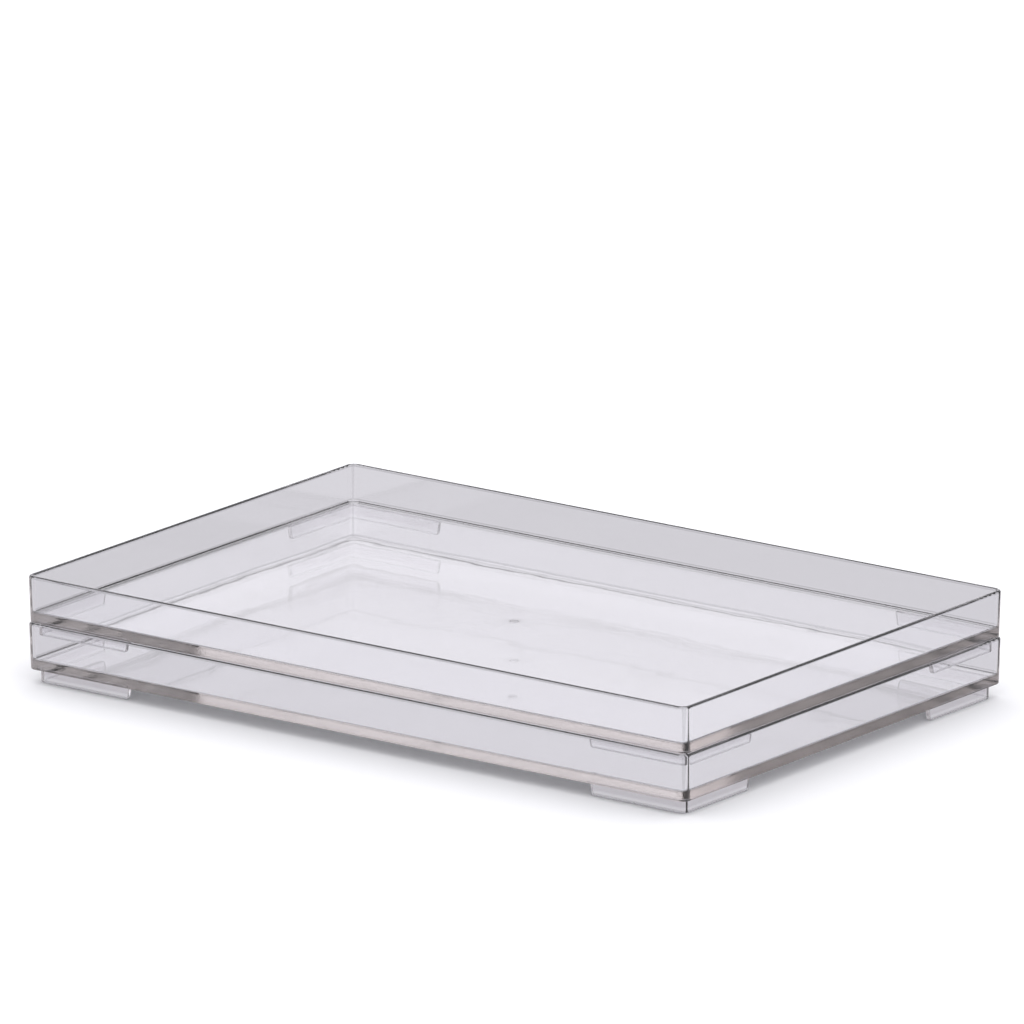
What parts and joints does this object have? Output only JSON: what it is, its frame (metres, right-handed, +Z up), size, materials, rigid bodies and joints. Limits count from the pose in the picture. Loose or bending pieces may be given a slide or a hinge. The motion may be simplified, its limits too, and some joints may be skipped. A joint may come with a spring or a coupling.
{
  "type": "letter tray",
  "caption": "Clear shallow letter tray stack: two open rectangular pans with thick flat floors, thin rounded walls and L-shaped corner feet that seat inside the rim below.",
  "frame": {"origin": "middle of the footprint, on the plane that the lower tray's feet stand on", "axes": "+X along the long side, +Y along the short side towards the back, +Z up"},
  "size_m": [0.34, 0.226, 0.0463],
  "materials": {
    "clear_plastic": "crystal clear, glossy"
  },
  "bodies": {
    "lower_tray": {"lower_tray_pan": "clear_plastic", "lower_foot_front_left": "clear_plastic", "lower_foot_front_right": "clear_plastic", "lower_foot_back_left": "clear_plastic", "lower_foot_back_right": "clear_plastic"},
    "upper_tray": {"upper_tray_pan": "clear_plastic", "upper_foot_front_left": "clear_plastic", "upper_foot_front_right": "clear_plastic", "upper_foot_back_left": "clear_plastic", "upper_foot_back_right": "clear_plastic"}
  },
  "joints": [
    {"name": "upper_tray_lift", "type": "slide", "parent": "lower_tray", "child": "upper_tray", "axis": [0, 0, 1], "range_m": [0, 0.136]}
  ]
}
